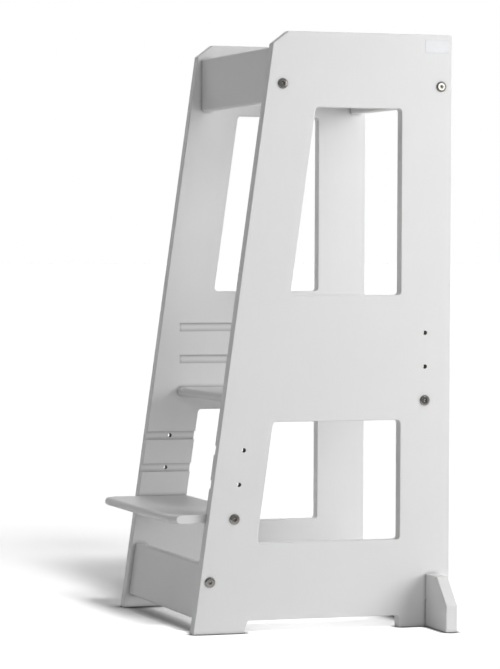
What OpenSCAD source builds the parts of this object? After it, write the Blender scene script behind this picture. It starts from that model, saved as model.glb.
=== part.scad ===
// Toddler kitchen helper stool: two side panels, cross boards, a platform and a step.
// Lengths are in mm. X runs across the stool, the climbing side faces -Y, Z is up.

/* [Side panels] */
// Height of the stool
panel_h = 880; // [800:1:1000]
// Depth of a side panel at the floor
panel_depth = 401; // [380:1:480]
// Thickness of a side panel
panel_t = 18; // [15:0.5:25]
// Clear width between the side panels
inner_w = 341; // [300:1:420]
// Lean of the front edge away from upright, in degrees
lean = 7.9; // [5:0.1:9]
// Height of the chamfer at the top of the front edge
nose_h = 18.5; // [8:0.5:24]
// Depth of the chamfer at the top of the front edge
nose_run = 24; // [10:1:30]
// Radius on the panel's upper corners
panel_corner_r = 3; // [1:0.5:6]

/* [Windows] */
// Width of the stile in front of the windows, measured level
front_stile = 79.5; // [74:0.5:84]
// Width of the stile behind the windows
rear_stile = 79.5; // [76:0.5:100]
// Underside of the lower window above the floor
low_window_z = 131; // [110:1:140]
// Height of the lower window
low_window_h = 177.5; // [165:0.5:182]
// Underside of the upper window above the floor
high_window_z = 494.2; // [480:0.1:600]
// Top of the upper window below the top rails
window_head_gap = 6.9; // [4:0.1:30]
// Radius of the window corners
window_r = 5.5; // [2:0.5:12]

/* [Feet] */
// Height of the gap between the front and rear foot
foot_gap_h = 17.9; // [10:0.1:24]
// Length of the front foot on the floor
front_foot = 78.5; // [70:0.5:90]
// Lean of the front foot's inner side over the gap's height
foot_lean_run = 5.5; // [0:0.5:8]
// Length of the rear foot on the floor
rear_foot = 80.2; // [76:0.1:90]
// Radius of the gap's corners
foot_gap_r = 4.5; // [2:0.5:6]

/* [Cross boards] */
// Thickness of the rails, the bottom board and the stabiliser
rail_t = 18; // [15:0.5:18.5]
// Height of the rails and the bottom board
rail_h = 81.4; // [78:0.1:82]
// Radius on the long edges of the rails and the bottom board
rail_edge_r = 4; // [1:0.5:6]
// Top of both top rails below the panels' top edge
top_rail_drop = 22; // [20:0.5:40]
// Centre of the top front rail behind the slanted edge at the rail's top
front_rail_back = 15.6; // [13:0.1:24]
// Centre of the top rear rail in front of the panel's rear edge
rear_rail_inset = 17; // [12:0.5:50]
// Lower bolt of a top rail above the rail's underside
top_bolt_inset = 26.7; // [20:0.1:30]
// How far the bottom board stands behind the slanted edge
bottom_board_setback = 5.9; // [4:0.1:8]
// Lower front edge of the bottom board above the floor
bottom_board_z = 20.4; // [18.5:0.1:24]
// Upper bolt of the bottom board below the board's top edge
bottom_bolt_inset = 23.8; // [20:0.1:30]

/* [Stabiliser] */
// Length of the stabiliser from tip to tip
stab_w = 538.8; // [480:0.2:600]
// Height of the stabiliser
stab_h = 78.7; // [70:0.1:84]
// Height of the stabiliser at its tips
stab_tip_h = 39.9; // [30:0.1:60]
// Length of each tip's slope
stab_slope = 37.9; // [20:0.1:60]
// Rear face of the stabiliser in front of the panel's rear edge
stab_inset = 19.6; // [12:0.1:30]

/* [Platform and step] */
// Thickness of the platform and the step
board_t = 12.7; // [12:0.1:14]
// Distance between two levels
level_pitch = 50.2; // [48:0.1:52]
// Depth of the grooves that hold the platform and the step
groove_d = 5.5; // [4:0.1:8]
// Lowest level of the platform, at its centre
platform_z = 337.4; // [334:0.1:340]
// Front edge of the platform behind the panel's front bottom corner
platform_front = 86.5; // [84:0.1:100]
// Rear edge of the platform in front of the panel's rear edge
platform_rear_gap = 8; // [4:0.5:16]
// Platform bolt in front of the panel's rear edge
platform_bolt_inset = 40.7; // [30:0.1:60]
// Lowest level of the step, at its centre
step_z = 167.4; // [164:0.1:172]
// How far the step stands in front of the panel's front bottom corner
step_overhang = 31.5; // [10:0.5:45]
// Rear edge of the step behind the panel's front bottom corner
step_rear = 103; // [96:0.5:106]
// Step bolt behind the slanted edge, measured level
step_bolt_back = 39.6; // [34:0.1:44]
// How far the front corners of the platform and the step are cut off, at 45 degrees
board_cut = 10; // [8:0.5:20]
// Radius on the front edge of the platform and the step
board_nose_r = 5.8; // [2:0.1:5.9]
// Radius of the rear corners of the platform and the step
board_rear_r = 3; // [1:0.5:6]

/* [Fasteners] */
// Diameter of the bolts
bolt_d = 6; // [5:0.5:6.5]
// Length of the bolts under the head
bolt_len = 50; // [45:1:60]
// Diameter of the bolt heads
head_d = 15.4; // [13:0.2:17]
// Height of the bolt heads
head_h = 2; // [1.6:0.1:3]
// Diameter of the flat on top of a bolt head, inside its domed rim
head_flat_d = 10.8; // [8:0.2:12]
// Width of the hexagon socket
socket_w = 4; // [3:0.5:5]
// Diameter of the barrel nuts
nut_d = 10; // [9:0.5:11]
// Length of the barrel nuts in the rails
nut_len = 12; // [10:0.5:13]
// Length of the barrel nuts in the platform and the step
board_nut_len = 10; // [9:0.5:10.5]
// Distance of the barrel nuts from the panels' inner faces
nut_inset = 24; // [20:0.5:26]
// Diameter of the wooden dowels
dowel_d = 8; // [6:0.5:8]
// Length of the wooden dowels
dowel_len = 30; // [25:1:34]
// How deep the dowels sit in the panels
dowel_in_panel = 12; // [9:0.5:13]

/* [Blank label] */
// Length of the blank label
label_w = 37.5; // [20:0.5:60]
// Height of the blank label
label_h = 19; // [10:0.5:30]
// Thickness of the blank label
label_t = 0.3; // [0.2:0.1:0.6]
// Rear edge of the label in front of the panel's rear edge
label_rear_gap = 4.8; // [3:0.1:20]
// Top of the label below the panel's top edge
label_top_gap = 7.5; // [4:0.1:20]

/* [Hidden] */
// Play of a bolt in its hole, on the radius
bolt_clear = 0.1;
// Play of a board in its groove and of a lap joint, on each face
seat_clear = 0.15;
// Play of a dowel in its hole, on the radius
dowel_clear = 0.05;
// Play at the end of a board, a bolt tip or a dowel
end_clear = 0.3;
// How far the bolt holes run on past the bolt tips
tip_clear = 2;
// How far a cut runs past the face it opens
over = 2;
// Corner radius of the blank label
label_r = 1.5;
// Depth of the hexagon socket
socket_depth = 3.2;
// Chamfer on a bolt's tip
bolt_chamfer = 0.7;
// Height of a bolt head's upright rim, under its dome
head_rim_h = 0.6;
// Chamfer on a dowel's ends
dowel_chamfer = 1;
// Turn that lays a barrel nut level in an upright rail, in degrees
nut_turn = 90;
// Facets of a circle
$fn = 48;

inner_x = inner_w / 2;
outer_x = inner_x + panel_t;
y_mid = (panel_depth - step_overhang) / 2;
top_rail_z = panel_h - top_rail_drop - rail_h;
high_window_h = top_rail_z - window_head_gap - high_window_z;
rear_rail_y = panel_depth - rear_rail_inset;
stab_y = panel_depth - stab_inset - rail_t;
platform_bolt_y = panel_depth - platform_bolt_inset;
label_z = panel_h - label_top_gap - label_h;
levels = [0, 1, 2];
groove_h = board_t + 2 * seat_clear;
board_half_w = inner_x + groove_d - end_clear;
tip_x = outer_x - bolt_len;
nut_x = inner_x - nut_inset;
top_bolt_z = top_rail_z + top_bolt_inset;
top_dowel_z = top_rail_z + rail_h - top_bolt_inset;
platform_depth = panel_depth - platform_rear_gap - platform_front;
step_depth = step_rear + step_overhang;
lap_h = stab_h / 2;
// Where the cut-off front corner of the platform crosses the panel's inner face
groove_front = platform_front + board_cut - board_half_w + inner_x - end_clear;

function slant_y(z) = z * tan(lean);
function unit(v) = v / norm(v);
function step_bolt_y(i) = slant_y(step_z + i * level_pitch) + step_bolt_back;
// A place on the bottom board: across its thickness, then up its height
function bottom_at(a, b) = [
    slant_y(bottom_board_z) + bottom_board_setback / cos(lean) + a * cos(lean) + b * sin(lean),
    bottom_board_z - a * sin(lean) + b * cos(lean)];
front_rail_y = slant_y(top_rail_z + rail_h) + front_rail_back;
bottom_bolt = bottom_at(rail_t / 2, rail_h - bottom_bolt_inset);
bottom_dowel = bottom_at(rail_t / 2, bottom_bolt_inset);

module placed() { translate([0, -y_mid, 0]) children(); }
module both_sides() { children(); mirror([1, 0, 0]) children(); }
module x_rod(x0, x1, y, z, d) {
    translate([x0, y, z]) rotate([0, 90, 0]) cylinder(h = x1 - x0, d = d);
}
// An outline in Y and Z, extruded along X
module along_x(x0, x1) {
    translate([x0, 0, 0]) rotate([90, 0, 90]) linear_extrude(x1 - x0) children();
}
// A convex outline whose corners have their own radii
module rounded(p, r) {
    n = len(p);
    corners = [for (i = [0 : n - 1])
        let (u = unit(p[(i + n - 1) % n] - p[i]), v = unit(p[(i + 1) % n] - p[i]),
             half = acos(u * v) / 2)
        [p[i] + u * r[i] / tan(half), p[i] + v * r[i] / tan(half),
         p[i] + unit(u + v) * r[i] / sin(half)]];
    polygon([for (c = corners) each [c[0], c[1]]]);
    for (i = [0 : n - 1]) if (r[i] > 0) translate(corners[i][2]) circle(r[i]);
}

module window(z, h) {
    rounded([[slant_y(z) + front_stile, z], [panel_depth - rear_stile, z],
        [panel_depth - rear_stile, z + h], [slant_y(z + h) + front_stile, z + h]],
        [window_r, window_r, window_r, window_r]);
}
module foot_gap() {
    rounded([[front_foot - foot_lean_run * over / foot_gap_h, -over],
        [panel_depth - rear_foot, -over], [panel_depth - rear_foot, foot_gap_h],
        [front_foot + foot_lean_run, foot_gap_h]], [0, 0, foot_gap_r, foot_gap_r]);
}
module panel_outline() {
    difference() {
        rounded([[0, 0], [panel_depth, 0], [panel_depth, panel_h],
            [slant_y(panel_h - nose_h) + nose_run, panel_h],
            [slant_y(panel_h - nose_h), panel_h - nose_h]],
            [0, 0, panel_corner_r, panel_corner_r, panel_corner_r]);
        window(low_window_z, low_window_h);
        window(high_window_z, high_window_h);
        foot_gap();
        translate([stab_y - seat_clear, -over])
            square([rail_t + 2 * seat_clear, lap_h + over + seat_clear]);
    }
}
module panel_groove(y0, y1, z) {
    translate([inner_x - over, y0, z - groove_h / 2])
        cube([groove_d + over, y1 - y0, groove_h]);
}
module panel_bolt_hole(y, z) {
    x_rod(inner_x - over, outer_x + over, y, z, bolt_d + 2 * bolt_clear);
}
module panel_dowel_hole(y, z) {
    x_rod(inner_x - over, inner_x + dowel_in_panel + end_clear, y, z, dowel_d + 2 * dowel_clear);
}
module side_panel() {
    difference() {
        along_x(inner_x, outer_x) panel_outline();
        for (i = levels) {
            panel_groove(groove_front, panel_depth + over, platform_z + i * level_pitch);
            panel_bolt_hole(platform_bolt_y, platform_z + i * level_pitch);
            panel_groove(-over, slant_y(step_z + i * level_pitch) + front_stile + over,
                step_z + i * level_pitch);
            panel_bolt_hole(step_bolt_y(i), step_z + i * level_pitch);
        }
        panel_bolt_hole(front_rail_y, top_bolt_z);
        panel_bolt_hole(rear_rail_y, top_bolt_z);
        panel_bolt_hole(bottom_bolt[0], bottom_bolt[1]);
        panel_dowel_hole(front_rail_y, top_dowel_z);
        panel_dowel_hole(rear_rail_y, top_dowel_z);
        panel_dowel_hole(bottom_dowel[0], bottom_dowel[1]);
    }
}
module side_panel_right() { color("whitesmoke") placed() side_panel(); }
module side_panel_left() { color("whitesmoke") placed() mirror([1, 0, 0]) side_panel(); }

// The bolt, dowel and nut holes at both ends of a cross board
module board_bolt_hole(y, z) {
    both_sides() x_rod(tip_x - tip_clear, board_half_w + over, y, z, bolt_d + 2 * bolt_clear);
}
module board_dowel_hole(y, z) {
    both_sides() x_rod(inner_x - dowel_len + dowel_in_panel - end_clear, inner_x + over, y, z,
        dowel_d + 2 * dowel_clear);
}
// A blind cross hole that opens on one face, for a barrel nut in the middle of the board
module nut_hole(len, t) {
    translate([0, 0, -len / 2]) cylinder(h = (len + t) / 2 + over, d = nut_d + 2 * bolt_clear);
}
module upright_rail(y) {
    difference() {
        along_x(-inner_x, inner_x) rounded([[y - rail_t / 2, top_rail_z], [y + rail_t / 2, top_rail_z],
            [y + rail_t / 2, top_rail_z + rail_h], [y - rail_t / 2, top_rail_z + rail_h]],
            [rail_edge_r, rail_edge_r, rail_edge_r, rail_edge_r]);
        board_bolt_hole(y, top_bolt_z);
        board_dowel_hole(y, top_dowel_z);
        both_sides() translate([nut_x, y, top_bolt_z])
            rotate([-nut_turn, 0, 0]) nut_hole(nut_len, rail_t);
    }
}
module top_front_rail() { color("white") placed() upright_rail(front_rail_y); }
module top_rear_rail() { color("white") placed() upright_rail(rear_rail_y); }
module bottom_front_board() {
    color("white") placed() difference() {
        along_x(-inner_x, inner_x)
            rounded([bottom_at(0, 0), bottom_at(rail_t, 0), bottom_at(rail_t, rail_h), bottom_at(0, rail_h)],
                [rail_edge_r, rail_edge_r, rail_edge_r, rail_edge_r]);
        board_bolt_hole(bottom_bolt[0], bottom_bolt[1]);
        board_dowel_hole(bottom_dowel[0], bottom_dowel[1]);
        both_sides() translate([nut_x, bottom_bolt[0], bottom_bolt[1]])
            rotate([-nut_turn - lean, 0, 0]) nut_hole(nut_len, rail_t);
    }
}
module stabiliser_board() {
    half = stab_w / 2;
    color("gainsboro") placed() difference() {
        translate([0, stab_y + rail_t, 0]) rotate([90, 0, 0]) linear_extrude(rail_t)
            polygon([[-half, 0], [half, 0], [half, stab_tip_h], [half - stab_slope, stab_h],
                [stab_slope - half, stab_h], [-half, stab_tip_h]]);
        both_sides() translate([inner_x - seat_clear, stab_y - over, lap_h])
            cube([panel_t + 2 * seat_clear, rail_t + 2 * over, lap_h + over]);
    }
}

// A wide slab whose edge on the X axis is rounded, its middle at Z = 0
module nosed_slab(reach) {
    h = board_t / 2;
    along_x(-reach, reach) rounded([[0, -h], [reach, -h], [reach, h], [0, h]],
        [board_nose_r, 0, 0, board_nose_r]);
}
module slide_in_board(front, depth, z, bolt_y) {
    w = board_half_w;
    difference() {
        translate([0, front, z]) intersection() {
            translate([0, 0, -board_t / 2 - over]) linear_extrude(board_t + 2 * over)
                rounded([[-w, -over], [w, -over], [w, depth], [-w, depth]], [0, 0, board_rear_r, board_rear_r]);
            nosed_slab(2 * w + depth);
            translate([w - board_cut, 0, 0]) rotate([0, 0, 45]) nosed_slab(2 * w + depth);
            translate([board_cut - w, 0, 0]) rotate([0, 0, -45]) nosed_slab(2 * w + depth);
        }
        board_bolt_hole(bolt_y, z);
        both_sides() translate([nut_x, bolt_y, z]) rotate([180, 0, 0]) nut_hole(board_nut_len, board_t);
    }
}
module platform() {
    color("white") placed()
        slide_in_board(platform_front, platform_depth, platform_z, platform_bolt_y);
}
module step() {
    color("white") placed() slide_in_board(-step_overhang, step_depth, step_z, step_bolt_y(0));
}

module bolt(y, z) {
    r = bolt_d / 2;
    dome_w = (head_d - head_flat_d) / 2;
    dome_h = head_h - head_rim_h;
    dome_turn = 45;
    translate([outer_x, y, z]) rotate([0, 90, 0]) difference() {
        rotate_extrude() polygon([[0, -bolt_len], [r - bolt_chamfer, -bolt_len],
            [r, bolt_chamfer - bolt_len], [r, 0], [head_d / 2, 0], [head_d / 2, head_rim_h],
            [head_flat_d / 2 + dome_w * cos(dome_turn), head_rim_h + dome_h * sin(dome_turn)],
            [head_flat_d / 2, head_h], [0, head_h]]);
        translate([0, 0, head_h - socket_depth])
            cylinder(h = socket_depth + over, d = socket_w / cos(180 / 6), $fn = 6);
    }
}
module top_front_rail_bolts() { color("silver") placed() both_sides() bolt(front_rail_y, top_bolt_z); }
module top_rear_rail_bolts() { color("silver") placed() both_sides() bolt(rear_rail_y, top_bolt_z); }
module bottom_board_bolts() {
    color("silver") placed() both_sides() bolt(bottom_bolt[0], bottom_bolt[1]);
}
module platform_bolt_right() { color("silver") placed() bolt(platform_bolt_y, platform_z); }
module platform_bolt_left() {
    color("silver") placed() mirror([1, 0, 0]) bolt(platform_bolt_y, platform_z);
}
module step_bolt_right() { color("silver") placed() bolt(step_bolt_y(0), step_z); }
module step_bolt_left() { color("silver") placed() mirror([1, 0, 0]) bolt(step_bolt_y(0), step_z); }

// A barrel nut in the middle of its board, its own axis turned about X by the given angle
module barrel_nut(y, z, len, turn) {
    both_sides() difference() {
        translate([nut_x, y, z]) rotate([turn, 0, 0]) cylinder(h = len, d = nut_d, center = true);
        x_rod(nut_x - nut_d, nut_x + nut_d, y, z, bolt_d + 2 * bolt_clear);
    }
}
module top_front_rail_nuts() {
    color("gray") placed() barrel_nut(front_rail_y, top_bolt_z, nut_len, nut_turn);
}
module top_rear_rail_nuts() {
    color("gray") placed() barrel_nut(rear_rail_y, top_bolt_z, nut_len, nut_turn);
}
module bottom_board_nuts() {
    color("gray") placed() barrel_nut(bottom_bolt[0], bottom_bolt[1], nut_len, -nut_turn - lean);
}
module platform_nuts() {
    color("gray") placed() barrel_nut(platform_bolt_y, platform_z, board_nut_len, 0);
}
module step_nuts() { color("gray") placed() barrel_nut(step_bolt_y(0), step_z, board_nut_len, 0); }

module dowels(y, z) {
    r = dowel_d / 2;
    both_sides() translate([inner_x + dowel_in_panel - dowel_len, y, z]) rotate([0, 90, 0])
        rotate_extrude() polygon([[0, 0], [r - dowel_chamfer, 0], [r, dowel_chamfer],
            [r, dowel_len - dowel_chamfer], [r - dowel_chamfer, dowel_len], [0, dowel_len]]);
}
module top_front_rail_dowels() { color("burlywood") placed() dowels(front_rail_y, top_dowel_z); }
module top_rear_rail_dowels() { color("burlywood") placed() dowels(rear_rail_y, top_dowel_z); }
module bottom_board_dowels() { color("burlywood") placed() dowels(bottom_dowel[0], bottom_dowel[1]); }

module blank_label() {
    y0 = panel_depth - label_rear_gap - label_w;
    color("snow") placed() along_x(outer_x, outer_x + label_t)
        rounded([[y0, label_z], [y0 + label_w, label_z], [y0 + label_w, label_z + label_h],
            [y0, label_z + label_h]], [label_r, label_r, label_r, label_r]);
}

side_panel_right();
side_panel_left();
top_front_rail();
top_rear_rail();
bottom_front_board();
stabiliser_board();
platform();
step();
top_front_rail_bolts();
top_rear_rail_bolts();
bottom_board_bolts();
platform_bolt_right();
platform_bolt_left();
step_bolt_right();
step_bolt_left();
top_front_rail_nuts();
top_rear_rail_nuts();
bottom_board_nuts();
platform_nuts();
step_nuts();
top_front_rail_dowels();
top_rear_rail_dowels();
bottom_board_dowels();
blank_label();
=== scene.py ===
import math
import bmesh
import bpy
from mathutils import Matrix, Vector


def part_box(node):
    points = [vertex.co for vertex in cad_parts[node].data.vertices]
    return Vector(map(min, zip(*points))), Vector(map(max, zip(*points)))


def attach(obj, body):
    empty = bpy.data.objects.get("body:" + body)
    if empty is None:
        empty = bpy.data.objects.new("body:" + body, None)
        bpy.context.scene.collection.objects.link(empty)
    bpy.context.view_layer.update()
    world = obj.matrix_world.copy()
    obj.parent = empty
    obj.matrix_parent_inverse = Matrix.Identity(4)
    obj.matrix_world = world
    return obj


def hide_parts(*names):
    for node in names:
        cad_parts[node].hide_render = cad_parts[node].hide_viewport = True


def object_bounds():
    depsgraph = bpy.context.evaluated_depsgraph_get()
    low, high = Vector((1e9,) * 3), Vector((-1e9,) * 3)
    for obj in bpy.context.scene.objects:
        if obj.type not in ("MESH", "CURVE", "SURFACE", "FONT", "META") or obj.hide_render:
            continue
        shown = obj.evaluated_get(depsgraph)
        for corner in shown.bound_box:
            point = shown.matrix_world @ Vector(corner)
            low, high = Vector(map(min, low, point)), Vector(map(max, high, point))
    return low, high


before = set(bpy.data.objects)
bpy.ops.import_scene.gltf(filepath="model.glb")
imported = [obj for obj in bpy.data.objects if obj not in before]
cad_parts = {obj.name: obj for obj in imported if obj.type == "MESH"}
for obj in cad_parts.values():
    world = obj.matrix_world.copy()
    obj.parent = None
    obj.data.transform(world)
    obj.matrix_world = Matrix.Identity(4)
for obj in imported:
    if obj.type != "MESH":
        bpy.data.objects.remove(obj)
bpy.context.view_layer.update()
scene = bpy.context.scene
millimetre = 0.001
stoolMiddle = sum(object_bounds(), Vector()) / 2
print("stage: frame loaded,", len(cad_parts), "nodes")


# colour, nodes and selection
def linearColour(hexText):
    values = [int(hexText[i:i + 2], 16) / 255 for i in (1, 3, 5)]
    return tuple(v / 12.92 if v <= 0.04045 else ((v + 0.055) / 1.055) ** 2.4 for v in values) + (1.0,)


def addNode(tree, kind, inputs, **settings):  # a socket among the inputs is linked, anything else is set
    node = tree.nodes.new("ShaderNode" + kind)
    for name, value in settings.items():
        setattr(node, name, value)
    for name, value in inputs.items():
        if isinstance(value, bpy.types.NodeSocket):
            tree.links.new(value, node.inputs[name])
        else:
            node.inputs[name].default_value = value
    return node


def newMaterial(name):
    material = bpy.data.materials.new(name)
    material.use_nodes = True
    material.node_tree.nodes.clear()
    return material, material.node_tree


def finishMaterial(tree, shader):
    addNode(tree, "OutputMaterial", {"Surface": shader.outputs[0]})


def twoTones(tree, factor, dark, light):
    ramp = addNode(tree, "ValToRGB", {"Fac": factor})
    ramp.color_ramp.elements[0].color = linearColour(dark)
    ramp.color_ramp.elements[1].color = linearColour(light)
    return ramp.outputs["Color"]


def pickOnly(*pieces):
    bpy.ops.object.select_all(action="DESELECT")
    for piece in pieces:
        piece.select_set(True)
    bpy.context.view_layer.objects.active = pieces[0]


def applyModifier(piece, kind, **settings):
    pickOnly(piece)
    modifier = piece.modifiers.new(kind.title(), kind)
    for name, value in settings.items():
        setattr(modifier, name, value)
    bpy.ops.object.modifier_apply(modifier=modifier.name)


def settle(piece):  # puts the object's place into its mesh
    pickOnly(piece)
    bpy.ops.object.transform_apply(location=True, rotation=True, scale=True)


def smoothBelow(piece, angle):
    pickOnly(piece)
    bpy.ops.object.shade_smooth_by_angle(angle=math.radians(angle))


# satin white lacquer, sprayed on smooth board: an even, nearly neutral white with a soft sheen,
# the board's grain just felt through it, the fine stipple that a spray gun leaves, and painted shade:
# ambient occlusion darkens the colour to a thin grey line where two boards meet and in grooves and inner
# corners
def satinWhiteLacquer(name, look, grainAxis):
    material, tree = newMaterial(name)
    place = addNode(tree, "TexCoord", {}).outputs["Object"]
    stretch = [1.0, 1.0, 1.0]
    stretch[grainAxis] = look["grainWidth"] / look["grainLength"]
    alongGrain = addNode(tree, "Mapping", {"Vector": place, "Scale": stretch}).outputs["Vector"]
    grain = addNode(tree, "TexNoise", {"Vector": alongGrain, "Scale": 1 / (look["grainWidth"] * millimetre),
                                       "Detail": 4.0, "Roughness": 0.55, "Distortion": 0.4}).outputs["Fac"]
    stipple = addNode(tree, "TexNoise", {"Vector": place, "Scale": 1 / (look["stipple"] * millimetre),
                                         "Detail": 2.0}).outputs["Fac"]
    cloud = addNode(tree, "TexNoise", {"Vector": place, "Scale": 1 / (look["cloud"] * millimetre),
                                       "Detail": 3.0}).outputs["Fac"]
    mixed = addNode(tree, "Math", {0: cloud, 1: grain}, operation="ADD").outputs[0]
    halved = addNode(tree, "Math", {0: mixed, 1: 0.5}, operation="MULTIPLY").outputs[0]
    clean = twoTones(tree, halved, look["dark"], look["light"])
    # painted shade: ambient occlusion darkens the colour in creases, grooves and where boards meet
    openness = addNode(tree, "AmbientOcclusion", {"Distance": look["crease"] * millimetre}, samples=8)
    crease = addNode(tree, "MapRange", {"Value": openness.outputs["AO"], "From Min": look["creaseFrom"],
                                        "To Min": look["creaseShadeTone"], "To Max": 1.0}).outputs[0]
    colour = addNode(tree, "VectorMath", {0: clean, "Scale": crease}, operation="SCALE").outputs[0]
    sheen = addNode(tree, "MapRange", {"Value": halved, "From Min": 0.3, "From Max": 0.7,
                                       "To Min": look["smooth"], "To Max": look["dull"]}).outputs[0]
    felt = addNode(tree, "Bump", {"Height": grain, "Strength": look["grainStrength"],
                                  "Distance": look["grainDepth"] * millimetre}).outputs[0]
    bump = addNode(tree, "Bump", {"Height": stipple, "Strength": look["stippleStrength"],
                                  "Distance": look["stippleDepth"] * millimetre, "Normal": felt}).outputs[0]
    finishMaterial(tree, addNode(tree, "BsdfPrincipled", {"Base Color": colour, "Roughness": sheen,
                                                          "Normal": bump, "IOR": 1.5}))
    return material


lacquer = {
    "dark": "#EAEAEA", "light": "#F0F0F0",
    "smooth": 0.4, "dull": 0.5,
    "grainWidth": 1.6, "grainLength": 45.0, "grainDepth": 0.05, "grainStrength": 0.25,
    "stipple": 0.7, "stippleDepth": 0.02, "stippleStrength": 0.2,
    "cloud": 90.0,
    "crease": 6.0, "creaseFrom": 0.3, "creaseShadeTone": 0.55,
}
acrossLacquer = satinWhiteLacquer("satinLacquerAcross", lacquer, 0)
uprightLacquer = satinWhiteLacquer("satinLacquerUpright", lacquer, 2)


# raw fibreboard where a bore is drilled through the lacquer: dull grey brown, fuzzy with torn fibres
def rawFibreboard(look):
    material, tree = newMaterial("rawFibreboard")
    place = addNode(tree, "TexCoord", {}).outputs["Object"]
    fibres = addNode(tree, "TexNoise", {"Vector": place, "Scale": 1 / (look["fibre"] * millimetre),
                                        "Detail": 6.0, "Roughness": 0.7}).outputs["Fac"]
    colour = twoTones(tree, fibres, look["dark"], look["light"])
    bump = addNode(tree, "Bump", {"Height": fibres, "Strength": 0.6,
                                  "Distance": look["fuzz"] * millimetre}).outputs[0]
    finishMaterial(tree, addNode(tree, "BsdfPrincipled", {"Base Color": colour, "Roughness": 0.9,
                                                          "Normal": bump}))
    return material


fibreboard = rawFibreboard({"dark": "#615B54", "light": "#8A8278", "fibre": 0.9, "fuzz": 0.1})


# plated steel, turned and then plated: a grey mirror, dulled a little by the turning rings, with painted
# shade: a dark colour in the corner under the head's rim and on the walls of the socket
def platedSteel(name, look):
    material, tree = newMaterial(name)
    own = addNode(tree, "Attribute", {}, attribute_name="ownPlace").outputs["Vector"]
    split = addNode(tree, "SeparateXYZ", {"Vector": own})
    flat = addNode(tree, "CombineXYZ", {"X": split.outputs["X"], "Y": split.outputs["Y"]}).outputs[0]
    radius = addNode(tree, "VectorMath", {0: flat}, operation="LENGTH").outputs["Value"]
    rings = addNode(tree, "TexNoise", {"W": radius, "Scale": 1 / (look["ring"] * millimetre), "Detail": 2.0},
                    noise_dimensions="1D").outputs["Fac"]
    stains = addNode(tree, "TexNoise", {"Vector": own, "Scale": 1 / (look["stain"] * millimetre),
                                        "Detail": 4.0}).outputs["Fac"]
    plated = twoTones(tree, stains, look["dark"], look["light"])
    # painted shade: this mask mixes a dark colour into the rim and the socket walls
    paintedShade = addNode(tree, "Attribute", {}, attribute_name="paintedShade").outputs["Fac"]
    colour = addNode(tree, "Mix", {0: paintedShade, 6: plated, 7: linearColour(look["paintedShade"])},
                     data_type="RGBA").outputs[2]
    dulling = addNode(tree, "Math", {0: rings, 1: stains}, operation="MULTIPLY").outputs[0]
    roughness = addNode(tree, "MapRange", {"Value": dulling, "From Min": 0.1, "From Max": 0.45,
                                           "To Min": look["smooth"], "To Max": look["dull"]}).outputs[0]
    bump = addNode(tree, "Bump", {"Height": rings, "Strength": look["ringStrength"],
                                  "Distance": look["ringDepth"] * millimetre}).outputs[0]
    finishMaterial(tree, addNode(tree, "BsdfPrincipled", {"Base Color": colour, "Metallic": 1.0,
                                                          "Roughness": roughness, "Normal": bump}))
    return material


nickelPlate = platedSteel("nickelPlatedSteel", {
    "dark": "#7E7C79", "light": "#94928E", "paintedShade": "#201F1E", "smooth": 0.1, "dull": 0.2,
    "ring": 0.22, "ringDepth": 0.01, "ringStrength": 0.2, "stain": 2.5,
})
zincPlate = platedSteel("zincPlatedSteel", {
    "dark": "#A3A7AB", "light": "#BCC0C4", "paintedShade": "#4A4C4E", "smooth": 0.24, "dull": 0.42,
    "ring": 0.3, "ringDepth": 0.01, "ringStrength": 0.3, "stain": 1.6,
})


# raw beech, turned and fluted: pinkish tan with fine darker flecks along the grain
def rawBeech(look):
    material, tree = newMaterial("rawBeech")
    own = addNode(tree, "Attribute", {}, attribute_name="ownPlace").outputs["Vector"]
    stretched = addNode(tree, "Mapping", {"Vector": own,
                                          "Scale": (1, 1, look["fleck"] / look["fleckLength"])}).outputs[0]
    flecks = addNode(tree, "TexNoise", {"Vector": stretched, "Scale": 1 / (look["fleck"] * millimetre),
                                        "Detail": 5.0}).outputs["Fac"]
    colour = twoTones(tree, flecks, look["dark"], look["light"])
    bump = addNode(tree, "Bump", {"Height": flecks, "Strength": 0.4,
                                  "Distance": look["fleckDepth"] * millimetre}).outputs[0]
    finishMaterial(tree, addNode(tree, "BsdfPrincipled", {"Base Color": colour, "Roughness": 0.7,
                                                          "Normal": bump}))
    return material


beech = rawBeech({"dark": "#A9815A", "light": "#D3B084", "fleck": 0.5, "fleckLength": 6.0,
                  "fleckDepth": 0.05})


# white vinyl sticker with nothing on it: a smoother and brighter white than the lacquer round it
def stickerVinyl(look):
    material, tree = newMaterial("whiteStickerVinyl")
    place = addNode(tree, "TexCoord", {}).outputs["Object"]
    mottle = addNode(tree, "TexNoise", {"Vector": place, "Scale": 1 / (look["mottle"] * millimetre),
                                        "Detail": 3.0}).outputs["Fac"]
    colour = twoTones(tree, mottle, look["dark"], look["light"])
    roughness = addNode(tree, "MapRange", {"Value": mottle, "To Min": 0.2, "To Max": 0.3}).outputs[0]
    bump = addNode(tree, "Bump", {"Height": mottle, "Strength": 0.15,
                                  "Distance": look["ripple"] * millimetre}).outputs[0]
    finishMaterial(tree, addNode(tree, "BsdfPrincipled", {"Base Color": colour, "Roughness": roughness,
                                                          "Normal": bump}))
    return material


sticker = stickerVinyl({"dark": "#E4E5E8", "light": "#ECEDEF", "mottle": 5.0, "ripple": 0.04})
print("stage: materials made")


# boards: each is its own node's shape, with every flat face made whole and its arrises rounded
meshLook = {"weld": 0.005, "flat": 0.3, "smoothTurn": 20, "softTurn": 12, "sharpTurn": 36}  # mm, degrees


def wholeFaces(node, name):
    piece = bpy.data.objects.new(name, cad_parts[node].data.copy())
    scene.collection.objects.link(piece)
    piece.data.materials.clear()
    pickOnly(piece)
    bpy.ops.mesh.customdata_custom_splitnormals_clear()
    bpy.ops.object.mode_set(mode="EDIT")
    bpy.ops.mesh.select_all(action="SELECT")
    bpy.ops.mesh.remove_doubles(threshold=meshLook["weld"] * millimetre)
    bpy.ops.mesh.dissolve_limited(angle_limit=math.radians(meshLook["flat"]))
    bpy.ops.object.mode_set(mode="OBJECT")
    return piece


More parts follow.
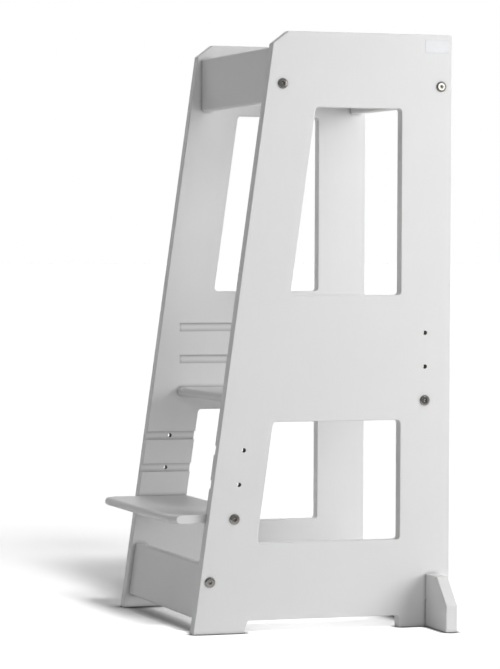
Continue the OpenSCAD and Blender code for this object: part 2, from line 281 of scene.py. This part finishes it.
def smoothGroups(shape):  # the faces that run into each other smoothly, and the box that each group fills
    groups, seen = [], set()
    limit = math.radians(meshLook["smoothTurn"])
    for start in shape.faces:
        if start in seen:
            continue
        group, waiting = [], [start]
        seen.add(start)
        while waiting:
            face = waiting.pop()
            group.append(face)
            for edge in face.edges:
                for other in edge.link_faces:
                    if other not in seen and edge.calc_face_angle(0) < limit:
                        seen.add(other)
                        waiting.append(other)
        places = [vertex.co for face in group for vertex in face.verts]
        spans = sorted(max(p[i] for p in places) - min(p[i] for p in places) for i in range(3))
        groups.append((group, spans))
    return groups


def isBore(spans, width):  # a round wall or the flat end of a drilled hole
    wall = spans[0] > width / 3 and spans[1] < width
    end = spans[2] < width
    return wall or end


def roundArrises(piece, look):
    shape = bmesh.new()
    shape.from_mesh(piece.data)
    small = set()
    for group, spans in smoothGroups(shape):
        if spans[1] < look["grooveLimit"] * millimetre:  # a groove's or a bore's
            small.update(group)
        for face in group:
            face.material_index = int(isBore(spans, look["boreLimit"] * millimetre))
    weights = []
    for edge in shape.edges:
        weight = 0.0
        # the weight fades out where a corner runs into a curve
        turn = math.degrees(edge.calc_face_angle(0))
        sharpness = (turn - meshLook["softTurn"]) / (meshLook["sharpTurn"] - meshLook["softTurn"])
        if edge.is_convex and sharpness > 0:
            fine = [face in small for face in edge.link_faces]
            if not all(fine):
                weight = min(sharpness, 1.0) * (look["lip"] / look["arris"] if any(fine) else 1.0)
        weights.append(weight)
    shape.to_mesh(piece.data)
    shape.free()
    piece.data.attributes.new("bevel_weight_edge", "FLOAT", "EDGE").data.foreach_set("value", weights)
    applyModifier(piece, "BEVEL", limit_method="WEIGHT", width=look["arris"] * millimetre, segments=4,
                  loop_slide=False, use_clamp_overlap=False)
    smoothBelow(piece, 30)
    applyModifier(piece, "WEIGHTED_NORMAL", mode="FACE_AREA", weight=100, keep_sharp=True)
    bores = sum(face.material_index for face in piece.data.polygons)
    print("stage:", piece.name, "has", len(piece.data.polygons), "faces,", bores, "of them in bores")


def makeBoard(node, name, look, material):
    board = wholeFaces(node, name)
    board.data.materials.append(material)
    board.data.materials.append(fibreboard)
    roundArrises(board, look)
    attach(board, "frame")
    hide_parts(node)


panelLook = {"arris": 1.3, "lip": 0.4, "grooveLimit": 13.5, "boreLimit": 11.0}
makeBoard("side_panel_right", "lacquered_panel_right", panelLook, uprightLacquer)
makeBoard("side_panel_left", "lacquered_panel_left", panelLook, uprightLacquer)

# the rails butt on the panels with sharper ends
railLook = {"arris": 0.8, "lip": 0.35, "grooveLimit": 13.5, "boreLimit": 11.0}
makeBoard("top_front_rail", "lacquered_front_rail", railLook, acrossLacquer)
makeBoard("top_rear_rail", "lacquered_rear_rail", railLook, acrossLacquer)
makeBoard("bottom_front_board", "lacquered_bottom_board", railLook, acrossLacquer)

stabiliserLook = {"arris": 1.5, "lip": 0.4, "grooveLimit": 13.5, "boreLimit": 11.0}
makeBoard("stabiliser_board", "lacquered_stabiliser", stabiliserLook, acrossLacquer)

treadLook = {"arris": 1.0, "lip": 0.35, "grooveLimit": 12.0, "boreLimit": 11.0}
makeBoard("platform", "lacquered_platform", treadLook, acrossLacquer)
makeBoard("step", "lacquered_step", treadLook, acrossLacquer)


# turned parts are drawn out along Z from a disc, one station after another
def turned(name, stations, sides):
    height, radius = stations[0]
    bpy.ops.object.select_all(action="DESELECT")
    bpy.ops.mesh.primitive_circle_add(vertices=sides, radius=radius * millimetre, fill_type="NGON",
                                      location=(0, 0, height * millimetre))
    piece = bpy.context.object
    piece.name = name
    settle(piece)
    bpy.ops.object.mode_set(mode="EDIT")
    bpy.ops.mesh.select_all(action="SELECT")
    for nextHeight, nextRadius in stations[1:]:
        step = (nextHeight - height) * millimetre
        bpy.ops.mesh.extrude_region_move(TRANSFORM_OT_translate={"value": (0, 0, step)})
        bpy.ops.transform.resize(value=(nextRadius / radius, nextRadius / radius, 1))
        height, radius = nextHeight, nextRadius
    bpy.ops.mesh.select_all(action="SELECT")
    bpy.ops.mesh.normals_make_consistent(inside=False)
    bpy.ops.object.mode_set(mode="OBJECT")
    return piece


def combine(piece, tool, operation):
    applyModifier(piece, "BOOLEAN", object=tool, operation=operation, solver="EXACT")
    bpy.data.objects.remove(tool)


def rememberOwnPlace(piece):  # a place on the turned part itself, for patterns that go round it
    own = piece.data.attributes.new("ownPlace", "FLOAT_VECTOR", "POINT")
    own.data.foreach_set("vector", [value for vertex in piece.data.vertices for value in vertex.co])


def rememberPaintedShade(bolt, look):  # painted shade: a dark colour on the head's steep rim and the socket's walls
    socketFloor = (look["headHeight"] - look["socketDepth"]) * millimetre
    rimStart = (look["headRadius"] - look["rimWidth"]) * millimetre
    values = []
    for face in bolt.data.polygons:
        radius = math.hypot(face.center.x, face.center.y)
        steep = abs(face.normal.z) < 0.9
        inRim = radius > rimStart and face.center.z > 0
        inSocket = radius < look["leadRadius"] * millimetre and face.center.z > socketFloor
        values.append(look["rimPaintedShade"] * (inRim and steep) + look["socketPaintedShade"] * (inSocket and steep))
    bolt.data.attributes.new("paintedShade", "FLOAT", "FACE").data.foreach_set("value", values)


def helixRidge(look, start, turns):
    half = look["pitch"] * look["ridgeShare"] / 2
    corners = [(look["rootRadius"], start - half), (look["crestRadius"], start),
               (look["rootRadius"], start + half)]
    bpy.ops.object.select_all(action="DESELECT")
    bpy.ops.mesh.primitive_circle_add(vertices=3, radius=millimetre)
    ridge = bpy.context.object
    for vertex, (radius, height) in zip(ridge.data.vertices, corners):
        vertex.co = (radius * millimetre, 0, height * millimetre)
    applyModifier(ridge, "SCREW", axis="Z", angle=math.tau, screw_offset=look["pitch"] * millimetre,
                  iterations=turns, steps=look["threadSteps"], render_steps=look["threadSteps"],
                  use_smooth_shade=False)
    bpy.ops.object.mode_set(mode="EDIT")
    bpy.ops.mesh.select_all(action="SELECT")
    bpy.ops.mesh.fill_holes(sides=4)
    bpy.ops.mesh.select_all(action="SELECT")
    bpy.ops.mesh.normals_make_consistent(inside=False)
    bpy.ops.object.mode_set(mode="OBJECT")
    return ridge


# furniture bolt: low head with a domed rim, sunk hexagon socket, threaded over the last part of its shank
boltLook = {
    "length": 50.0, "shankRadius": 2.95, "coreRadius": 2.45, "threadLength": 28.0, "tipChamfer": 0.7,
    "headRadius": 7.7, "headHeight": 2.0, "faceRadius": 5.3,
    "socketWidth": 4.0, "socketDepth": 2.6, "leadRadius": 2.9, "leadDepth": 0.5,
    "pitch": 1.0, "ridgeShare": 0.86, "rootRadius": 2.38, "crestRadius": 2.97, "threadSteps": 24,
    "rimWidth": 0.5, "rimPaintedShade": 0.5, "socketPaintedShade": 1.0,
}


def makeBolt(look):
    threadTop = look["threadLength"] - look["length"]
    rim = look["headRadius"] - look["faceRadius"]
    stations = [(-look["length"], look["coreRadius"] - look["tipChamfer"]),
                (look["tipChamfer"] - look["length"], look["coreRadius"]),
                (threadTop, look["coreRadius"]),
                (threadTop + look["shankRadius"] - look["coreRadius"], look["shankRadius"]),
                (0.0, look["shankRadius"]),
                (0.0, look["headRadius"] - 0.2),
                (0.2, look["headRadius"])]
    for turn in range(0, 100, 15):  # the domed rim, a quarter of an ellipse
        angle = math.radians(min(turn, 90))
        stations.append((0.6 + (look["headHeight"] - 0.6) * math.sin(angle),
                         look["faceRadius"] + rim * math.cos(angle)))
    bolt = turned("masterBolt", stations, 48)
    combine(bolt, helixRidge(look, 1.2 - look["length"], int(look["threadLength"]) - 1), "UNION")
    lead = turned("leadIn", [(look["headHeight"] - look["leadDepth"], look["leadRadius"] - look["leadDepth"]),
                             (look["headHeight"] + 0.2, look["leadRadius"] + 0.2)], 48)
    combine(bolt, lead, "DIFFERENCE")
    corner = look["socketWidth"] / 2 / math.cos(math.radians(30))
    socket = turned("socket", [(look["headHeight"] - look["socketDepth"] - 0.6, corner * 0.2),
                               (look["headHeight"] - look["socketDepth"], corner),
                               (look["headHeight"] + 1, corner)], 6)
    combine(bolt, socket, "DIFFERENCE")
    smoothBelow(bolt, 32)
    bolt.data.materials.append(nickelPlate)
    rememberOwnPlace(bolt)
    rememberPaintedShade(bolt, look)
    return bolt


def placeCopies(master, name, nodes, body, turns):  # one finished piece of several copies
    copies = []
    for matrix in turns:
        copy = bpy.data.objects.new(name, master.data.copy())
        scene.collection.objects.link(copy)
        copy.matrix_world = matrix
        settle(copy)
        copies.append(copy)
    pickOnly(*copies)
    if len(copies) > 1:
        bpy.ops.object.join()
    piece = copies[0]
    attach(piece, body)
    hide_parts(*nodes)


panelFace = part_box("side_panel_right")[1].x  # outer face of the near panel
masterBolt = makeBolt(boltLook)
print("stage: bolt made,", len(masterBolt.data.polygons), "faces")


def boltTurn(node, side):
    low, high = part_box(node)
    middle = (low + high) / 2
    turn = Matrix.Rotation(side * math.pi / 2, 4, "Y")
    return Matrix.Translation((side * panelFace, middle.y, middle.z)) @ turn


for place in ("top_front_rail", "top_rear_rail", "bottom_board"):
    node = place + "_bolts"
    bothSides = [boltTurn(node, 1), boltTurn(node, -1)]
    placeCopies(masterBolt, "steel_" + node, [node], "frame", bothSides)
for place in ("platform_bolt_", "step_bolt_"):
    for sideName, side in (("right", 1), ("left", -1)):
        node = place + sideName
        placeCopies(masterBolt, "steel_" + node, [node], node, [boltTurn(node, side)])
bpy.data.objects.remove(masterBolt)

# barrel nut: a turned rod with a cross bore and a screwdriver slot that shows which way the bore lies
nutLook = {"radius": 5.0, "chamfer": 0.5, "boreRadius": 3.05, "slotWidth": 1.4, "slotDepth": 1.6,
           "lean": 7.9}


def makeNut(look, length):
    half, radius = length / 2, look["radius"]
    nut = turned("masterNut", [(-half, radius - look["chamfer"]), (look["chamfer"] - half, radius),
                               (half - look["chamfer"], radius), (half, radius - look["chamfer"])], 48)
    bore = turned("bore", [(-2 * radius, look["boreRadius"]), (2 * radius, look["boreRadius"])], 40)
    bore.rotation_euler = (0, math.pi / 2, 0)
    settle(bore)
    combine(nut, bore, "DIFFERENCE")
    bpy.ops.object.select_all(action="DESELECT")
    bpy.ops.mesh.primitive_cube_add(size=1, location=(0, 0, half * millimetre),
                                    scale=[4 * radius * millimetre, look["slotWidth"] * millimetre,
                                           2 * look["slotDepth"] * millimetre])
    cutter = bpy.context.object
    settle(cutter)
    combine(nut, cutter, "DIFFERENCE")
    smoothBelow(nut, 32)
    nut.data.materials.append(zincPlate)
    rememberOwnPlace(nut)
    return nut


def placeNuts(node, length, turn):
    nut = makeNut(nutLook, length)
    low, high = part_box(node)
    middle = (low + high) / 2
    across = high.x - nutLook["radius"] * millimetre
    rotation = Matrix.Rotation(math.radians(turn), 4, "X")
    turns = [Matrix.Translation((side * across, middle.y, middle.z)) @ rotation for side in (1, -1)]
    placeCopies(nut, "zinc_" + node, [node], "frame", turns)
    bpy.data.objects.remove(nut)


placeNuts("top_front_rail_nuts", 12.0, -90)  # slots face the rear
placeNuts("top_rear_rail_nuts", 12.0, -90)
placeNuts("bottom_board_nuts", 12.0, -90 - nutLook["lean"])
placeNuts("platform_nuts", 10.0, 180)  # slots face down
placeNuts("step_nuts", 10.0, 180)
print("stage: bolts and nuts placed")

# fluted dowel
dowelLook = {"radius": 4.0, "length": 30.0, "chamfer": 1.0, "flutes": 20, "fluteShare": 0.93}


def makeDowel(look):
    stations = [(0.0, look["radius"] - look["chamfer"]), (look["chamfer"], look["radius"]),
                (look["length"] - look["chamfer"], look["radius"]),
                (look["length"], look["radius"] - look["chamfer"])]
    dowel = turned("masterDowel", stations, 2 * look["flutes"])
    for vertex in dowel.data.vertices:
        turn = round(math.atan2(vertex.co.y, vertex.co.x) / math.tau * 2 * look["flutes"])
        if turn % 2:
            vertex.co.x *= look["fluteShare"]
            vertex.co.y *= look["fluteShare"]
    dowel.data.materials.append(beech)
    rememberOwnPlace(dowel)
    return dowel


masterDowel = makeDowel(dowelLook)
for place in ("top_front_rail", "top_rear_rail", "bottom_board"):
    node = place + "_dowels"
    low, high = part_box(node)
    middle = (low + high) / 2
    turns = [Matrix.Translation((side * (high.x - dowelLook["length"] * millimetre), middle.y, middle.z))
             @ Matrix.Rotation(side * math.pi / 2, 4, "Y") for side in (1, -1)]
    placeCopies(masterDowel, "beech_" + node, [node], "frame", turns)
bpy.data.objects.remove(masterDowel)

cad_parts["blank_label"].data.materials.clear()
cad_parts["blank_label"].data.materials.append(sticker)
print("stage: dowels and label done")


# floor and background: both show white to the camera and to metal, and the floor keeps the shadow
def seenDirectly(tree):
    path = addNode(tree, "LightPath", {})
    either = addNode(tree, "Math", {0: path.outputs["Is Camera Ray"], 1: path.outputs["Is Glossy Ray"]},
                     operation="MAXIMUM").outputs[0]
    return addNode(tree, "Math", {0: either, 1: path.outputs["Is Transmission Ray"]},
                   operation="MAXIMUM").outputs[0]


# the floor that is seen: white, with the suns' shadow and a painted contact shade from ambient occlusion, a
# dark line at the feet, which is thin at the near panel
def whiteSweep(look):
    material, tree = newMaterial("whiteSweep")
    place = addNode(tree, "NewGeometry", {}).outputs["Position"]
    across = addNode(tree, "SeparateXYZ", {0: place}).outputs["X"]
    reach = addNode(tree, "MapRange", {"Value": across, "From Min": innerFace - look["fade"],
                                       "From Max": innerFace, "To Min": look["contact"],
                                       "To Max": look["nearContact"]}).outputs[0]
    # painted shade: ambient occlusion darkens both the lit colour and the glow near the feet
    openness = addNode(tree, "AmbientOcclusion", {"Distance": reach}, samples=16).outputs["AO"]
    paintedContactShade = addNode(tree, "Math", {0: openness, 1: look["contactPower"]}, operation="POWER").outputs[0]
    lit = addNode(tree, "BsdfDiffuse", {"Color": paintedContactShade}).outputs[0]
    dim = addNode(tree, "Math", {0: paintedContactShade, 1: look["glow"]}, operation="MULTIPLY").outputs[0]
    glow = addNode(tree, "Emission", {"Strength": dim}).outputs[0]
    finishMaterial(tree, addNode(tree, "AddShader", {0: lit, 1: glow}))
    return material


def paperUnder(look):  # the floor that sends light back up to the stool
    material, tree = newMaterial("whitePaper")
    finishMaterial(tree, addNode(tree, "BsdfDiffuse", {"Color": (look["paper"],) * 3 + (1.0,)}))
    return material


def floorPlane(name, drop, material):
    bpy.ops.object.select_all(action="DESELECT")
    bpy.ops.mesh.primitive_plane_add(size=floorLook["size"], location=(0, 0, -drop * millimetre))
    plane = bpy.context.object
    plane.name = name
    plane.data.materials.append(material)
    return plane


floorLook = {"size": 160.0, "drop": 0.3, "paperDrop": 0.6, "paper": 0.8, "glow": 0.3,
             "contact": 0.03, "nearContact": 0.012, "fade": 0.05, "contactPower": 3.0}
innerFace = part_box("side_panel_right")[0].x
seenFloor = floorPlane("studio_floor", floorLook["drop"], whiteSweep(floorLook))
seenFloor.visible_diffuse = False
seenFloor.visible_shadow = False
paperFloor = floorPlane("bounce_paper", floorLook["paperDrop"], paperUnder(floorLook))
paperFloor.visible_camera = False
paperFloor.visible_glossy = False
paperFloor.visible_transmission = False

worldLook = {"fill": 0.0, "white": 1.0}
world = bpy.data.worlds.new("studio")
world.use_nodes = True
worldTree = world.node_tree
worldTree.nodes.clear()
strength = addNode(worldTree, "MapRange", {"Value": seenDirectly(worldTree), "To Min": worldLook["fill"],
                                           "To Max": worldLook["white"]}).outputs[0]
background = addNode(worldTree, "Background", {"Color": (1, 1, 1, 1), "Strength": strength})
addNode(worldTree, "OutputWorld", {"Surface": background.outputs[0]})
scene.world = world


# the soft boxes leave out the floor that is seen, and the two suns that draw its shadow light nothing else
def linkToFloor(lamp, state):
    group = bpy.data.collections.new(lamp.name + "Lights")
    group.objects.link(seenFloor)
    group.collection_objects[0].light_linking.link_state = state
    lamp.light_linking.receiver_collection = group


def directionOf(look):  # from the stool to a lamp or card: its angle from +X towards +Y, and its height
    angle, height = math.radians(look["angle"]), math.radians(look["height"])
    return Vector((math.cos(angle) * math.cos(height), math.sin(angle) * math.cos(height),
                   math.sin(height)))


def softBox(name, look):
    towards = directionOf(look)
    lamp = bpy.data.lights.new(name, "AREA")
    lamp.shape = "RECTANGLE"
    lamp.size, lamp.size_y = look["size"]
    # at a level of 1 a surface that faces the lamp shows its colour as written
    lamp.energy = math.pi ** 2 * look["distance"] ** 2 * look["level"]
    box = bpy.data.objects.new(name, lamp)
    scene.collection.objects.link(box)
    box.location = stoolMiddle + towards * look["distance"]
    box.rotation_euler = towards.to_track_quat("Z", "Y").to_euler()
    box.visible_glossy = False  # the bolts show the white room and the cards, not hot lamps
    linkToFloor(box, "EXCLUDE")


def shadowSun(name, look):
    towards = directionOf(look)
    lamp = bpy.data.lights.new(name, "SUN")
    lamp.angle = math.radians(look["spread"])
    lamp.energy = math.pi * look["level"] / towards.z
    box = bpy.data.objects.new(name, lamp)
    scene.collection.objects.link(box)
    box.rotation_euler = towards.to_track_quat("Z", "Y").to_euler()
    linkToFloor(box, "INCLUDE")


# a small lamp inside the near panel, for the white floor that shows through the gap between its feet
def gapLamp(name, look):
    lamp = bpy.data.lights.new(name, "AREA")
    lamp.shape = "RECTANGLE"
    lamp.size, lamp.size_y = look["size"]
    lamp.energy = math.pi ** 2 * look["height"] ** 2 * look["level"]
    box = bpy.data.objects.new(name, lamp)
    scene.collection.objects.link(box)
    box.location = (innerFace - look["inside"], look["towardsRear"], look["height"])
    box.visible_glossy = False
    linkToFloor(box, "INCLUDE")


softBox("keyStrip", {"angle": 46, "height": 12, "distance": 3.0, "size": (0.9, 1.7), "level": 0.28})
softBox("keyTop", {"angle": 46, "height": 30, "distance": 3.0, "size": (1.2, 1.2), "level": 0.09})
softBox("edgeStrip", {"angle": 56, "height": 12, "distance": 3.0, "size": (0.6, 1.6), "level": 0.18})
softBox("sideStrip", {"angle": 28, "height": 4, "distance": 3.0, "size": (0.5, 0.8), "level": 0.1})
softBox("topBox", {"angle": 60, "height": 60, "distance": 3.0, "size": (1.6, 1.6), "level": 0.27})
softBox("cameraFill", {"angle": -18, "height": 8, "distance": 3.0, "size": (0.9, 1.0), "level": 0.125})
softBox("frontWash", {"angle": -110, "height": 30, "distance": 3.0, "size": (1.2, 1.2), "level": 0.1})
softBox("farWash", {"angle": -150, "height": 35, "distance": 3.0, "size": (1.4, 1.4), "level": 0.05})
softBox("leftWash", {"angle": 174, "height": 16, "distance": 3.0, "size": (1.2, 1.8), "level": 0.38})
shadowSun("shadowSunHigh", {"angle": 1, "height": 54, "spread": 12, "level": 0.44})
shadowSun("shadowSunLow", {"angle": 3, "height": 36, "spread": 14, "level": 0.29})
gapLamp("footGapLamp", {"inside": 0.05, "towardsRear": 0.03, "height": 0.13, "size": (0.1, 0.24),
                        "level": 0.7})


# cards that only reflections show: grey ones for the dark side of the studio, and a bright one
def studioCard(name, look):
    towards = directionOf(look)
    bpy.ops.object.select_all(action="DESELECT")
    bpy.ops.mesh.primitive_plane_add(size=1)
    card = bpy.context.object
    card.name = name
    card.scale = (look["size"][0], look["size"][1], 1)
    card.location = stoolMiddle + towards * look["distance"]
    card.rotation_euler = towards.to_track_quat("Z", "Y").to_euler()
    settle(card)
    material, tree = newMaterial(name + "Paper")
    finishMaterial(tree, addNode(tree, "Emission", {"Strength": look["tone"]}))
    card.data.materials.append(material)
    card.visible_camera = False
    card.visible_diffuse = False
    card.visible_shadow = False
    card.visible_transmission = False


studioCard("greyCardCamera", {"angle": -14, "height": 10, "distance": 1.3, "size": (2.6, 2.2), "tone": 0.4})
studioCard("greyCardFront", {"angle": -100, "height": 10, "distance": 1.3, "size": (2.4, 2.2), "tone": 0.4})
studioCard("brightCard", {"angle": 25.2, "height": 15.9, "distance": 1.55, "size": (0.3, 0.3), "tone": 5.0})

# the camera stands where the photograph was taken from
cameraLook = {"place": (4.3958, -1.52758, 0.56853), "yaw": 18.752, "pitch": 1.698, "roll": 0.233,
              "focalPixels": 3049.5, "longSidePixels": 669, "sensor": 36.0}
yaw, pitch, roll = (math.radians(cameraLook[name]) for name in ("yaw", "pitch", "roll"))
forward = Vector((-math.cos(yaw) * math.cos(pitch), math.sin(yaw) * math.cos(pitch), -math.sin(pitch)))
level = forward.cross(Vector((0, 0, 1))).normalized()
upward = level.cross(forward)
right = math.cos(roll) * level + math.sin(roll) * upward
top = math.cos(roll) * upward - math.sin(roll) * level
lens = bpy.data.cameras.new("photoCamera")
lens.sensor_fit, lens.sensor_width = "AUTO", cameraLook["sensor"]
lens.lens = cameraLook["focalPixels"] / cameraLook["longSidePixels"] * cameraLook["sensor"]
lens.clip_end = 200
camera = bpy.data.objects.new("photoCamera", lens)
scene.collection.objects.link(camera)
turnMatrix = Matrix((right, top, -forward)).transposed().to_4x4()
camera.matrix_world = Matrix.Translation(cameraLook["place"]) @ turnMatrix
scene.camera = camera
scene.view_settings.view_transform = "Standard"
print("stage: studio ready")
